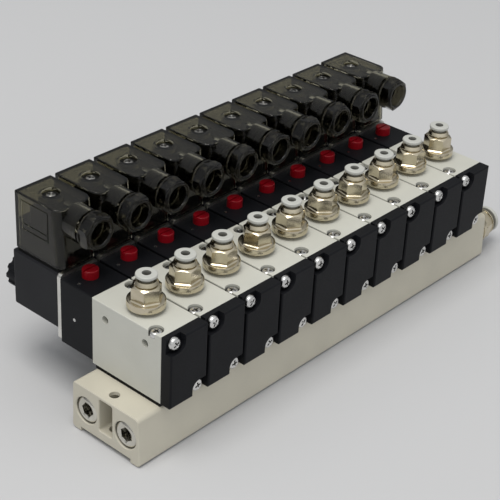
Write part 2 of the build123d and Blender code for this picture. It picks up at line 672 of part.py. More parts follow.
# Manual override button, with a slot for a screwdriver, and its spring
override_top = PILOT_TOP + OVERRIDE_RISE
with BuildPart() as override_button:
    with BuildSketch(Plane.XY.offset(override_top)):
        with Locations((0, OVERRIDE_Y)):
            Circle(OVERRIDE_R)
    extrude(amount=-OVERRIDE_RISE - OVERRIDE_REACH)
    fillet(override_button.faces().sort_by(Axis.Z)[-1].edges(), OVERRIDE_ROUND)
    with BuildSketch(Plane.XY.offset(override_top)):
        with Locations((0, OVERRIDE_Y)):
            Rectangle(2 * OVERRIDE_R, OVERRIDE_SLOT_WIDTH)
    extrude(amount=-OVERRIDE_SLOT_DEPTH, mode=Mode.SUBTRACT)
write_each(override_button, "override_button")

override_spring = coil_spring(OVERRIDE_SPRING_POCKET_R - STOP_GAP,
                              (0, OVERRIDE_Y, override_floor - OVERRIDE_SPRING_POCKET_DEPTH), (0, 0, 1),
                              OVERRIDE_SPRING_POCKET_DEPTH)
write(at_stations(override_spring), "override_springs")

# Steel plate between the pilot block and the coil
with BuildPart() as pilot_plate:
    with BuildSketch(along_y(PILOT_BACK, z=(PLATE_BOTTOM + PLATE_TOP) / 2)) as plate_outline:
        Rectangle(PLATE_WIDTH, PLATE_TOP - PLATE_BOTTOM)
        fillet(plate_outline.vertices().group_by(Axis.Z)[-1], PLATE_CORNER_ROUND)
    extrude(amount=PLATE_THICKNESS)
    with BuildSketch(along_y(PILOT_BACK)):
        Circle(TUBE_R + THREAD_GAP)
    extrude(amount=PLATE_THICKNESS, mode=Mode.SUBTRACT)
write(at_stations(pilot_plate), "pilot_plates")

# Armature tube with its flange, fixed core and threaded stem
armature_front = chamber_front + STOP_GAP
armature_back = armature_front + ARMATURE_LENGTH
core_front = armature_back + ARMATURE_STROKE
with BuildPart() as armature_tube:
    with BuildSketch(along_y(tube_seat_y)):
        Circle(TUBE_R)
    extrude(amount=COIL_BACK - tube_seat_y)
    with BuildSketch(along_y(tube_seat_y)):
        Circle(TUBE_FLANGE_R)
    extrude(amount=TUBE_FLANGE_THICKNESS)
    with BuildSketch(along_y(COIL_BACK)):
        Circle(TUBE_STEM_R)
    extrude(amount=COIL_NUT_LENGTH - STEM_SHORTFALL)
    with BuildSketch(along_y(tube_seat_y)):
        Circle(TUBE_R - TUBE_WALL)
    extrude(amount=core_front - tube_seat_y, mode=Mode.SUBTRACT)
write(at_stations(armature_tube), "armature_tubes")

with BuildPart() as armature:
    with BuildSketch(along_y(armature_front)):
        Circle(TUBE_R - TUBE_WALL - ARMATURE_GAP)
    extrude(amount=ARMATURE_LENGTH)
    with BuildSketch(along_y(armature_back)):
        Circle(ARMATURE_SPRING_HOLE_R)
    extrude(amount=-ARMATURE_SPRING_HOLE_DEPTH, mode=Mode.SUBTRACT)
write(at_stations(armature), "armatures")

armature_spring = coil_spring(ARMATURE_SPRING_HOLE_R - ARMATURE_GAP,
                              (0, armature_back - ARMATURE_SPRING_HOLE_DEPTH, AXIS_Z), (0, 1, 0),
                              ARMATURE_SPRING_HOLE_DEPTH + ARMATURE_STROKE - STOP_GAP)
write(at_stations(armature_spring), "armature_springs")

# Coil, potted in black plastic, with the pockets of its contact pins
with BuildPart() as coil:
    with BuildSketch(Plane.XY.offset(COIL_BOTTOM)):
        with Locations((0, (PLATE_BACK + COIL_BACK) / 2)):
            Rectangle(COIL_WIDTH, COIL_LENGTH)
    extrude(amount=COIL_TOP - COIL_BOTTOM)
    fillet(coil.edges().filter_by(Axis.Y) + coil.faces().sort_by(Axis.Y)[-1].edges(), COIL_EDGE_ROUND)
    with BuildSketch(along_y(PLATE_BACK)):
        Circle(TUBE_R + THREAD_GAP)
    extrude(amount=COIL_LENGTH, mode=Mode.SUBTRACT)
    with BuildSketch(Plane.XY.offset(COIL_TOP)):
        with Locations((0, WELL_Y)):
            Circle(SCREW_R + THREAD_GAP)
    extrude(amount=-CONNECTOR_SCREW_GRIP - STOP_GAP, mode=Mode.SUBTRACT)
    with BuildSketch(Plane.XY.offset(COIL_TOP)):
        for x, y, width, depth in PINS:
            with Locations((x, y)):
                Rectangle(width, depth)
    extrude(amount=-PIN_SUNK, mode=Mode.SUBTRACT)
write(at_stations(coil), "coils")

with BuildPart() as coil_pin_set:
    with BuildSketch(Plane.XY.offset(COIL_TOP - PIN_SUNK)):
        for x, y, width, depth in PINS:
            with Locations((x, y)):
                Rectangle(width, depth)
    extrude(amount=PIN_SUNK + PIN_RISE)
write(at_stations(coil_pin_set), "coil_pins")

# Scalloped nut that holds the coil on its tube
with BuildPart() as coil_nut:
    with BuildSketch(along_y(COIL_BACK)):
        Circle(COIL_NUT_R)
        with PolarLocations(COIL_NUT_R + COIL_NUT_SCALLOP_R - COIL_NUT_SCALLOP_DEPTH, COIL_NUT_LOBES):
            Circle(COIL_NUT_SCALLOP_R, mode=Mode.SUBTRACT)
        Circle(TUBE_STEM_R + THREAD_GAP, mode=Mode.SUBTRACT)
    extrude(amount=COIL_NUT_LENGTH)
write(at_stations(coil_nut), "coil_nuts")

# Gasket between the coil and its plug connector
with BuildPart() as connector_gasket:
    with BuildSketch(Plane.XY.offset(COIL_TOP)):
        with Locations((0, (CONNECTOR_GASKET_FRONT + CONNECTOR_GASKET_BACK) / 2)):
            Rectangle(CONNECTOR_GASKET_WIDTH, CONNECTOR_GASKET_BACK - CONNECTOR_GASKET_FRONT)
        with Locations((0, WELL_Y)):
            Circle(SCREW_R + SCREW_HOLE_GAP, mode=Mode.SUBTRACT)
        for x, y, width, depth in PINS:
            with Locations((x, y)):
                Rectangle(width + 2 * PIN_GAP, depth + 2 * PIN_GAP, mode=Mode.SUBTRACT)
    extrude(amount=CONNECTOR_GASKET_THICKNESS)
write(at_stations(connector_gasket), "connector_gaskets")


def housing_form(inset, front_round, back_round):
    """The outer form of the connector housing, or with an inset the hollow inside its walls."""
    front = HOUSING_FRONT + inset
    back = HOUSING_BACK - inset
    top = HOUSING_TOP - inset
    half_width = HOUSING_WIDTH / 2 - inset
    with BuildPart() as form:
        with BuildSketch(Plane.YZ.offset(-half_width)):
            with BuildLine():
                Polyline((front, HOUSING_BOTTOM), (back, HOUSING_BOTTOM), (back, top),
                         (front + HOUSING_FRONT_LEAN, top), close=True)
            make_face()
        extrude(amount=2 * half_width)
        uprights = form.edges().filter_by(lambda edge: abs((edge % 0.5).Z) > 0.9).group_by(Axis.Y)
        fillet(uprights[0], front_round)
        uprights = form.edges().filter_by(lambda edge: abs((edge % 0.5).Z) > 0.9).group_by(Axis.Y)
        fillet(uprights[-1], back_round)
    return form


# Transparent housing: walls, neck, screw well and the raised frame on both sides
well_floor = HOUSING_TOP - WELL_DEPTH
block_top = well_floor - WELL_WALL - BLOCK_GAP
with BuildPart() as neck:
    with BuildSketch(along_y(NECK_FRONT, z=NECK_Z)):
        Circle(NECK_R)
    extrude(amount=NECK_BACK - NECK_FRONT)
    chamfer(neck.edges().sort_by(Axis.Y)[-1], NECK_BACK_BEVEL)
with BuildPart() as connector_housing:
    add(housing_form(0, HOUSING_FRONT_ROUND, HOUSING_BACK_ROUND).part)
    fillet(connector_housing.faces().sort_by(Axis.Z)[-1].edges(), HOUSING_TOP_ROUND)
    add(neck.part)
    add(housing_form(HOUSING_WALL, HOUSING_FRONT_ROUND - HOUSING_WALL, HOUSING_BACK_INNER_ROUND).part,
        mode=Mode.SUBTRACT)
    with BuildSketch(along_y(NECK_FRONT, z=NECK_Z)):
        Circle(NECK_BORE_R)
    extrude(amount=NECK_BORE_LENGTH, mode=Mode.SUBTRACT)
    with BuildSketch(Plane.XY.offset(well_floor - WELL_WALL)):
        with Locations((0, WELL_Y)):
            Circle(WELL_R + WELL_WALL)
    extrude(amount=WELL_WALL + WELL_DEPTH - HOUSING_WALL)
    with BuildSketch(Plane.XY.offset(HOUSING_TOP)):
        with Locations((0, WELL_Y)):
            Circle(WELL_R)
    extrude(amount=-WELL_DEPTH, mode=Mode.SUBTRACT)
    with BuildSketch(Plane.XY.offset(well_floor)):
        with Locations((0, WELL_Y)):
            Circle(SCREW_R + SCREW_HOLE_GAP)
    extrude(amount=-WELL_WALL, mode=Mode.SUBTRACT)
    frame_depth = FRAME_BACK - FRAME_FRONT
    frame_height = FRAME_TOP - FRAME_BOTTOM
    for side in (-1, 1):
        with BuildSketch(Plane.YZ.offset(side * HOUSING_WIDTH / 2)):
            with Locations(((FRAME_FRONT + FRAME_BACK) / 2, (FRAME_BOTTOM + FRAME_TOP) / 2)):
                Rectangle(frame_depth, frame_height)
                Rectangle(frame_depth - 2 * FRAME_LINE, frame_height - 2 * FRAME_LINE,
                          mode=Mode.SUBTRACT)
            with Locations(((FRAME_FRONT + FRAME_BACK) / 2, FRAME_BOTTOM + FRAME_BAR_UP)):
                Rectangle(frame_depth, FRAME_LINE)
        extrude(amount=side * FRAME_RISE)
write(at_stations(connector_housing), "connector_housings")

# Terminal block: a slab over the pins and a tower under the screw
block_half_width = HOUSING_WIDTH / 2 - HOUSING_WALL - BLOCK_GAP
block_back = HOUSING_BACK - HOUSING_WALL - BLOCK_GAP
block_steps = ((BLOCK_FRONT, block_back, BLOCK_SHOULDER),
               (BLOCK_TOWER_FRONT, BLOCK_TOWER_BACK, block_top - HOUSING_BOTTOM))
with BuildPart() as terminal_block:
    for front, back, height in block_steps:
        with BuildSketch(Plane.XY.offset(HOUSING_BOTTOM)) as outline:
            with Locations((0, (front + back) / 2)):
                Rectangle(2 * block_half_width, back - front)
            fillet(outline.vertices().group_by(Axis.Y)[0], HOUSING_FRONT_ROUND - HOUSING_WALL)
        extrude(amount=height)
    with BuildSketch(Plane.XY.offset(block_top)):
        with Locations((0, WELL_Y)):
            Circle(SCREW_R + SCREW_HOLE_GAP)
    extrude(amount=HOUSING_BOTTOM - block_top, mode=Mode.SUBTRACT)
    with BuildSketch(along_y(BLOCK_TOWER_FRONT, z=NECK_Z)):
        Circle(CABLE_SPACE_R)
    extrude(amount=CABLE_SPACE_LENGTH, mode=Mode.SUBTRACT)
    with BuildSketch(Plane.XY.offset(HOUSING_BOTTOM)):
        for x, y, width, depth in PINS:
            with Locations((x, y)):
                Rectangle(width + 2 * PIN_GAP, depth + 2 * PIN_GAP)
    extrude(amount=PIN_RISE, mode=Mode.SUBTRACT)
write(at_stations(terminal_block), "terminal_blocks")

connector_screw = pan_screw((0, WELL_Y, well_floor), (0, 0, 1), HEAD_R,
                            well_floor - COIL_TOP + CONNECTOR_SCREW_GRIP)
write(at_stations(connector_screw), "connector_screws")

# Hollow gland screw in the neck, and the rubber seal behind it
flange_back = NECK_FRONT - GLAND_FLANGE_GAP
hex_back = flange_back - GLAND_FLANGE_THICKNESS
nose_back = hex_back - GLAND_HEX_LENGTH
nose_front = nose_back - GLAND_NOSE_LENGTH
shank_back = flange_back + GLAND_SHANK_LENGTH
with BuildPart() as gland_screw:
    with Locations(Plane(origin=(0, hex_back, NECK_Z), x_dir=(1, 0, 0), z_dir=(0, -1, 0)).location):
        add(bevelled_hexagon(GLAND_FLATS, 0, GLAND_HEX_LENGTH).part)
    with BuildSketch(along_y(nose_front, z=NECK_Z)):
        Circle(GLAND_NOSE_R)
    extrude(amount=GLAND_NOSE_LENGTH)
    with BuildSketch(along_y(hex_back, z=NECK_Z)):
        Circle(GLAND_FLANGE_R)
    extrude(amount=GLAND_FLANGE_THICKNESS)
    with BuildSketch(along_y(flange_back, z=NECK_Z)):
        Circle(NECK_BORE_R - THREAD_GAP)
    extrude(amount=GLAND_SHANK_LENGTH)
    with BuildSketch(along_y(nose_front, z=NECK_Z)):
        Circle(GLAND_BORE_R)
    extrude(amount=shank_back - nose_front, mode=Mode.SUBTRACT)
    mouth = gland_screw.edges().filter_by(GeomType.CIRCLE).group_by(Axis.Y)[0]
    chamfer(mouth.sort_by(SortBy.RADIUS)[0], GLAND_BORE_BEVEL)
write(at_stations(gland_screw), "gland_screws")

with BuildPart() as gland_seal:
    with BuildSketch(along_y(shank_back, z=NECK_Z)):
        Circle(NECK_BORE_R - THREAD_GAP)
        Circle(GLAND_SEAL_HOLE_R, mode=Mode.SUBTRACT)
    extrude(amount=GLAND_SEAL_LENGTH)
write(at_stations(gland_seal), "gland_seals")
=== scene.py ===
"""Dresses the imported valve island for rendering: materials, finer fittings and screws, light, camera."""
import json
import math
import random

import bmesh
import bpy
from mathutils import Matrix, Vector

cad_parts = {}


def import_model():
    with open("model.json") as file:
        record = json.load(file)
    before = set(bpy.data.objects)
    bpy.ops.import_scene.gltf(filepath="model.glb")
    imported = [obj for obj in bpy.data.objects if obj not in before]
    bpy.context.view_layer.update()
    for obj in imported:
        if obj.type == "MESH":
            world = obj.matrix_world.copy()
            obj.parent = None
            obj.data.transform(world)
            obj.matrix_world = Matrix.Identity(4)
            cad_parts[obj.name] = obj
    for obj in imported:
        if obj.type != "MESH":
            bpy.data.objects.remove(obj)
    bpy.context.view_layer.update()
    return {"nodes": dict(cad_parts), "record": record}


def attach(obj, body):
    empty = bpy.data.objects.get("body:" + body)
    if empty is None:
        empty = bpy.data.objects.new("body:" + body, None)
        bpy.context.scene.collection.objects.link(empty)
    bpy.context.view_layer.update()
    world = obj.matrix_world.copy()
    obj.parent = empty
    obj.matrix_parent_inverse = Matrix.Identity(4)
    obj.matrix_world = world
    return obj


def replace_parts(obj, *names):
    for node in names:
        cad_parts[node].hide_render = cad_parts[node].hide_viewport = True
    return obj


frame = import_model()
nodes = frame["nodes"]

MM = 0.001
STATIONS = 10
PITCH = 23.0
STATION_X = [(i - (STATIONS - 1) / 2) * PITCH for i in range(STATIONS)]
ROOT = "island"

# Edges whose faces meet at more than this angle stay sharp, in degrees
SHARP_ANGLE = 32.0

# Steps across the turned bevel at the end of a hexagon
BEVEL_STEPS = 5

# Camera, fitted to the photograph
CAMERA_PLACE = (-0.4575, -0.3588, 0.3895)
CAMERA_AZIMUTH = -49.38
CAMERA_ELEVATION = 30.70
CAMERA_ROLL = 3.09
CAMERA_LENS = 103.06

# Where the sky of the studio is brightest
DOME_AXIS = (-0.2, -0.4, 0.89)

# Places of the pieces that are made again here, in millimetres, as in the solids
BODY_TOP = 60.2
OUTLET_Y = 0.4
SUPPLY_SEAT = (127.5, -12.0, 12.8)
PLUG_FACE_X = -127.2
PLUG_Y = 12.0
PLUG_Z = 12.8
COVER_SCREW_SEATS = ((-6.8, -22.1, 56.9), (6.8, -22.1, 29.7))
HOLD_DOWN_SEATS = ((-8.3, -14.1, 57.3), (8.3, 17.6, 57.3))
CONNECTOR_SCREW_SEAT = (0.0, 59.6, 89.1)
GLAND_Y = 34.6
GLAND_Z = 84.4

# Sizes of the push-in fittings and the plugs, heights from the seat, in millimetres
OUTLET = {"thread_r": 4.8, "thread_end": -6.5, "neck_r": 5.6, "flange_r": 8.45, "flange_bottom": 1.7,
          "flange_top": 5.0, "flats": 12.0, "hex_top": 11.6, "collar_r": 4.9, "collar_top": 14.4,
          "bore_r": 3.15, "seat_r": 2.05, "seat_bottom": 1.6, "seat_top": 7.0, "flow_r": 1.8}
SUPPLY = {"thread_r": 6.5, "thread_end": -10.0, "neck_r": 8.0, "flange_r": 8.8, "flange_bottom": 0.6,
          "flange_top": 3.4, "flats": 14.4, "hex_top": 9.4, "collar_r": 7.0, "collar_top": 12.8,
          "bore_r": 5.55, "seat_r": 4.05, "seat_bottom": -4.0, "seat_top": 4.0, "flow_r": 3.6}
PLUG = {"radius": 6.5, "length": 10.7, "chamfer": 0.7, "flats": 6.0, "depth": 5.5}

# Sizes of the pan head screws, in millimetres
COVER_SCREW = {"radius": 3.0, "height": 2.4, "shank_r": 1.5, "length": 4.2}
HOLD_DOWN_SCREW = {"radius": 2.8, "height": 2.3, "shank_r": 1.5, "length": 37.8}
CONNECTOR_SCREW = {"radius": 2.45, "height": 1.9, "shank_r": 1.5, "length": 33.1}
RECESS_ARMS = ((0.2, 1.8, 0.43), (-0.75, 1.25, 0.36), (-1.4, 0.5, 0.3))

# Threads of the brass pieces: how deep, and how far apart
THREAD_DEPTH = 0.35
THREAD_PITCH = 0.9

# Painted shade: the colour laid on metal and paint at the bottom of a recess, where ambient occlusion
# finds it closed in
PAINTED_RECESS_SHADE = (0.05, 0.048, 0.042)

# How deep the lines on bright metal are, in metres
METAL_GRAIN = 0.00001

# How far each hexagon is turned, in degrees, station by station
OUTLET_TURNS = (7, 36, 33, 17, -3, -10, -15, -7, 32, 28)
SUPPLY_TURN = 12.0
PLUG_TURNS = (8.0, 21.0)
GLAND_TURNS = (8, 30, -12, 18, 41, 3, 25, -20, 12, -6)


class Surface:
    """A Principled material, with short calls for the nodes that feed it."""

    def __init__(self, name, **settings):
        self.material = bpy.data.materials.new(name)
        self.material.use_nodes = True
        self.tree = self.material.node_tree
        self.shader = self.tree.nodes["Principled BSDF"]
        for key, value in settings.items():
            self.shader.inputs[key.replace("_", " ")].default_value = value
        self.place = self.node("ShaderNodeTexCoord").outputs["Object"]

    def node(self, kind, inputs=None, **properties):
        """A new node. An input may be a number, a colour or the output of another node."""
        made = self.tree.nodes.new(kind)
        for key, value in properties.items():
            setattr(made, key, value)
        for key, value in (inputs or {}).items():
            if isinstance(value, bpy.types.NodeSocket):
                self.tree.links.new(value, made.inputs[key])
            else:
                made.inputs[key].default_value = value
        return made

    def stretched(self, scale):
        """The place on the object, scaled along each axis, for streaks and rings."""
        return self.node("ShaderNodeMapping", {"Vector": self.place, "Scale": scale}).outputs["Vector"]

    def noise(self, scale, detail=2.0, vector=None):
        """Cloudy noise between 0 and 1."""
        inputs = {"Vector": vector or self.place, "Scale": scale, "Detail": detail}
        return self.node("ShaderNodeTexNoise", inputs).outputs["Fac"]

    def remap(self, value, low, high, low_in=0.3, high_in=0.7):
        """The value, stretched from low_in and high_in to low and high."""
        inputs = {"Value": value, "From Min": low_in, "From Max": high_in, "To Min": low, "To Max": high}
        return self.node("ShaderNodeMapRange", inputs).outputs["Result"]

    def blend(self, factor, first, second):
        """A colour between first and second. Second may be a colour or the output of a node."""
        made = self.tree.nodes.new("ShaderNodeMix")
        made.data_type = "RGBA"
        sockets = {s.identifier: s for s in made.inputs}
        self.tree.links.new(factor, sockets["Factor_Float"])
        sockets["A_Color"].default_value = first + (1.0,)
        if isinstance(second, bpy.types.NodeSocket):
            self.tree.links.new(second, sockets["B_Color"])
        else:
            sockets["B_Color"].default_value = second + (1.0,)
        return [s for s in made.outputs if s.identifier == "Result_Color"][0]

    def bump(self, height, distance, strength=1.0, normal=None):
        """The surface's direction, made uneven by height, on top of normal."""
        inputs = {"Height": height, "Distance": distance, "Strength": strength}
        if normal is not None:
            inputs["Normal"] = normal
        return self.node("ShaderNodeBump", inputs).outputs["Normal"]

    def feed(self, key, value):
        """Joins the output of a node to an input of the shader."""
        self.tree.links.new(value, self.shader.inputs[key])


def coated(name, dark, light, rough, grain, depth, streak=None, reach=None, **settings):
    """Paint, anodising or moulded plastic, uneven in colour and gloss, with painted shade in narrow gaps
    where reach is given.
    """
    surface = Surface(name, **settings)
    clouds = surface.noise(45.0, 4.0)
    colour = surface.blend(surface.remap(clouds, 0.0, 1.0), dark, light)
    # Painted shade: ambient occlusion darkens the colour in gaps and recesses
    if reach:
        painted_shade_ao = surface.node("ShaderNodeAmbientOcclusion", {"Distance": reach})
        colour = surface.blend(surface.remap(painted_shade_ao.outputs["AO"], 0.0, 1.0, 0.15, 0.5), PAINTED_RECESS_SHADE, colour)
    surface.feed("Base Color", colour)
    fine = surface.noise(grain, 3.0)
    surface.feed("Roughness", surface.remap(fine, rough[0], rough[1]))
    normal = surface.bump(fine, depth)
    if streak:
        lines = surface.noise(1.0, 3.0, surface.stretched(streak))
        normal = surface.bump(lines, depth * 0.8, 0.6, normal)
    surface.feed("Normal", normal)
    return surface.material


def shaded(name, dark, light, rough, grain, depth, reach, **settings):
    """Moulded plastic with painted shade where it is closed in, as in a deep bore."""
    surface = Surface(name, **settings)
    # Painted shade: ambient occlusion darkens the colour where the surface is closed in
    painted_shade_ao = surface.node("ShaderNodeAmbientOcclusion", {"Distance": reach}).outputs["AO"]
    surface.feed("Base Color", surface.blend(surface.remap(painted_shade_ao, 0.0, 1.0, 0.15, 0.75), dark, light))
    fine = surface.noise(grain, 3.0)
    surface.feed("Roughness", surface.remap(fine, rough[0], rough[1]))
    surface.feed("Normal", surface.bump(fine, depth))
    return surface.material


def metal(name, dark, light, rough, streak, reach=None, **settings):
    """Bright metal with fine lines from turning or rolling, with painted shade in recesses where reach is
    given.
    """
    surface = Surface(name, Metallic=1.0, **settings)
    clouds = surface.noise(120.0, 3.0)
    colour = surface.blend(surface.remap(clouds, 0.0, 1.0), dark, light)
    # Painted shade: ambient occlusion darkens the colour in recesses
    if reach:
        painted_shade_ao = surface.node("ShaderNodeAmbientOcclusion", {"Distance": reach})
        colour = surface.blend(surface.remap(painted_shade_ao.outputs["AO"], 0.0, 1.0, 0.2, 0.7), PAINTED_RECESS_SHADE, colour)
    surface.feed("Base Color", colour)
    lines = surface.noise(1.0, 3.0, surface.stretched(streak))
    surface.feed("Roughness", surface.remap(lines, rough[0], rough[1]))
    surface.feed("Normal", surface.bump(lines, METAL_GRAIN))
    return surface.material


def smoked(name, tint, rough):
    """Clear smoke plastic with flow marks and small scratches."""
    surface = Surface(name, Base_Color=tint + (1.0,), Transmission_Weight=1.0, IOR=1.38,
                      Specular_IOR_Level=0.25)
    flow = surface.noise(60.0, 2.0)
    surface.feed("Roughness", surface.remap(surface.noise(900.0, 2.0), rough[0], rough[1]))
    surface.feed("Normal", surface.bump(flow, 0.00006))
    return surface.material


MATERIALS = {
    # Painted shade in narrow gaps, such as around the end plugs, from the last number: the reach of the
    # ambient occlusion
    "base_aluminium": coated("base_aluminium", (0.54, 0.51, 0.42), (0.59, 0.557, 0.457), (0.38, 0.5),
                             2600.0, 0.000012, (14.0, 3800.0, 3800.0), 0.0016),
    # Painted shade in the seams between the bodies, in the counterbores and under the fitting flanges
    "valve_aluminium": coated("valve_aluminium", (0.53, 0.53, 0.475), (0.57, 0.57, 0.515),
                              (0.42, 0.55), 3600.0, 0.000012, reach=0.0016),
    "black_plastic": coated("black_plastic", (0.005, 0.0055, 0.007), (0.0075, 0.008, 0.01),
                            (0.42, 0.58), 3000.0, 0.00001, Specular_IOR_Level=0.14),
    "coil_plastic": coated("coil_plastic", (0.009, 0.0095, 0.0115), (0.013, 0.0135, 0.016),
                           (0.42, 0.55), 1800.0, 0.00001, Specular_IOR_Level=0.18),
    "smoke_plastic": smoked("smoke_plastic", (0.30, 0.285, 0.21), (0.03, 0.11)),
    "gland_plastic": smoked("gland_plastic", (0.06, 0.055, 0.038), (0.06, 0.16)),
    "red_plastic": coated("red_plastic", (0.22, 0.0015, 0.006), (0.3, 0.0025, 0.01), (0.28, 0.4),
                          1500.0, 0.000006, Specular_IOR_Level=0.3),
    # Painted shade in the bores of the release rings; it stands in also for the dark collet and seal
    # inside, which are not drawn
    "grey_plastic": shaded("grey_plastic", (0.10, 0.095, 0.08), (0.50, 0.505, 0.47), (0.4, 0.5),
                           1800.0, 0.000006, 0.006),
    "nickel_brass": metal("nickel_brass", (0.52, 0.465, 0.34), (0.68, 0.61, 0.47), (0.1, 0.22),
                          (30.0, 30.0, 7000.0)),
    # Painted shade inside the hexagon sockets and in the gap to the port
    "plug_nickel": metal("plug_nickel", (0.58, 0.56, 0.50), (0.72, 0.70, 0.63), (0.12, 0.22),
                         (900.0, 900.0, 900.0), reach=0.005),
    "supply_brass": metal("supply_brass", (0.52, 0.465, 0.34), (0.68, 0.61, 0.47), (0.1, 0.22),
                          (7000.0, 30.0, 30.0)),
    # Painted shade in the cross recesses and in the gap around each head
    "zinc_steel": metal("zinc_steel", (0.58, 0.58, 0.57), (0.78, 0.77, 0.75), (0.16, 0.3),
                        (900.0, 900.0, 900.0), reach=0.0014),
    # Painted shade: a darker copy of zinc steel for the connector screws, which sit deep in their wells,
    # with painted shade in recesses as well
    "painted_shade_steel": metal("painted_shade_steel", (0.26, 0.255, 0.24), (0.42, 0.41, 0.39), (0.12, 0.26),
                        (900.0, 900.0, 900.0), reach=0.0014),
    "plate_steel": metal("plate_steel", (0.66, 0.65, 0.61), (0.78, 0.77, 0.73), (0.26, 0.42),
                         (3000.0, 3000.0, 40.0)),
    "spring_steel": metal("spring_steel", (0.4, 0.4, 0.4), (0.55, 0.55, 0.55), (0.25, 0.4),
                          (900.0, 900.0, 900.0)),
    "spool_aluminium": metal("spool_aluminium", (0.7, 0.7, 0.71), (0.8, 0.8, 0.8), (0.2, 0.3),
                             (30.0, 5000.0, 30.0)),
    "black_rubber": coated("black_rubber", (0.004, 0.004, 0.004), (0.007, 0.007, 0.007), (0.6, 0.8),
                           1600.0, 0.00002, Specular_IOR_Level=0.15),
}

for row in frame["record"]["subparts"]:
    shown = nodes[row["node"]]
    shown.data.materials.clear()
    shown.data.materials.append(MATERIALS[row["material_slot"]])


def finished(bm, name, slot, material=None):
    """Turns a bmesh in millimetres into an object that rides on the island."""
    bmesh.ops.remove_doubles(bm, verts=bm.verts, dist=0.0005)
    bmesh.ops.recalc_face_normals(bm, faces=bm.faces)
    bmesh.ops.scale(bm, vec=(MM, MM, MM), verts=bm.verts)
    limit = math.radians(SHARP_ANGLE)
    for face in bm.faces:
        face.smooth = True
    for edge in bm.edges:
        if len(edge.link_faces) == 2 and edge.calc_face_angle(0.0) > limit:
            edge.smooth = False
    mesh = bpy.data.meshes.new(name)
    bm.to_mesh(mesh)
    bm.free()
    mesh.materials.append(MATERIALS[material or slot])
    made = bpy.data.objects.new(name, mesh)
    bpy.context.scene.collection.objects.link(made)
    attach(made, ROOT)
    return made


def turned(rows, sides=72, hollow=True):
    """A bmesh turned about Z. A row is radius, height and, where the ring has six flats, their width."""
    bm = bmesh.new()
    rings = []
    for row in rows:
        ring = []
        for i in range(sides):
            angle = math.tau * i / sides
            radius = row[0]
            if len(row) > 2:
                from_flat = (angle + math.pi / 6) % (math.pi / 3) - math.pi / 6
                radius = min(radius, row[2] / 2 / math.cos(from_flat))
            ring.append(bm.verts.new((radius * math.cos(angle), radius * math.sin(angle), row[1])))
        rings.append(ring)
    pairs = list(zip(rings, rings[1:]))
    if hollow:
        pairs.append((rings[-1], rings[0]))
    for lower, upper in pairs:
        for i in range(sides):
            j = (i + 1) % sides
            bm.faces.new((lower[i], lower[j], upper[j], upper[i]))
    if not hollow:
        bm.faces.new(rings[0][::-1])
        bm.faces.new(rings[-1])
    return bm


def hexagon_rows(flats, bottom, top):
    """Rows of a hexagon whose upper corners are turned off at 30 degrees."""
    corner = flats / math.sqrt(3)
    slope = math.tan(math.radians(30))
    bevel = corner - flats / 2
    rows = [(corner, bottom, flats)]
    for i in range(BEVEL_STEPS + 1):
        rows.append((corner - bevel * i / BEVEL_STEPS,
                     top - bevel * slope * (BEVEL_STEPS - i) / BEVEL_STEPS, flats))
    return rows


def thread_rows(radius, depth, pitch, start, end):
    """Rows of a screw thread, drawn as rings, from the height start to the height end."""
    rows = []
    count = int(abs(end - start) / pitch)
    step = (end - start) / count
    for i in range(count):
        rows.append((radius - depth, start + step * i))
        rows.append((radius - depth, start + step * (i + 0.15)))
        rows.append((radius, start + step * (i + 0.5)))
        rows.append((radius, start + step * (i + 0.65)))
    rows.append((radius - depth, end))
    return rows


def copied(bm, places):
    """A bmesh with a copy of bm at each matrix."""
    mesh = bpy.data.meshes.new("copies")
    bm.to_mesh(mesh)
    bm.free()
    made = bmesh.new()
    for place in places:
        first = len(made.verts)
        made.from_mesh(mesh)
        made.verts.ensure_lookup_table()
        bmesh.ops.transform(made, matrix=place, verts=made.verts[first:])
    bpy.data.meshes.remove(mesh)
    return made


def standing(place, up, spin):
    """The matrix that stands a piece made about Z at place, along up, turned by spin degrees."""
    turn = Vector(up).to_track_quat("Z", "Y").to_matrix().to_4x4()
    return Matrix.Translation(place) @ turn @ Matrix.Rotation(math.radians(spin), 4, "Z")


def cut(bm, cutter):
    """bm with cutter taken away."""
    pair = []
    for part in (bm, cutter):
        bmesh.ops.recalc_face_normals(part, faces=part.faces)
        mesh = bpy.data.meshes.new("cut")
        part.to_mesh(mesh)
        part.free()
        pair.append(bpy.data.objects.new("cut", mesh))
        bpy.context.scene.collection.objects.link(pair[-1])
    modifier = pair[0].modifiers.new("cut", "BOOLEAN")
    modifier.object = pair[1]
    modifier.solver = "EXACT"
    graph = bpy.context.evaluated_depsgraph_get()
    mesh = bpy.data.meshes.new_from_object(pair[0].evaluated_get(graph))
    result = bmesh.new()
    result.from_mesh(mesh)
    for part in pair:
        bpy.data.meshes.remove(part.data)
    return result


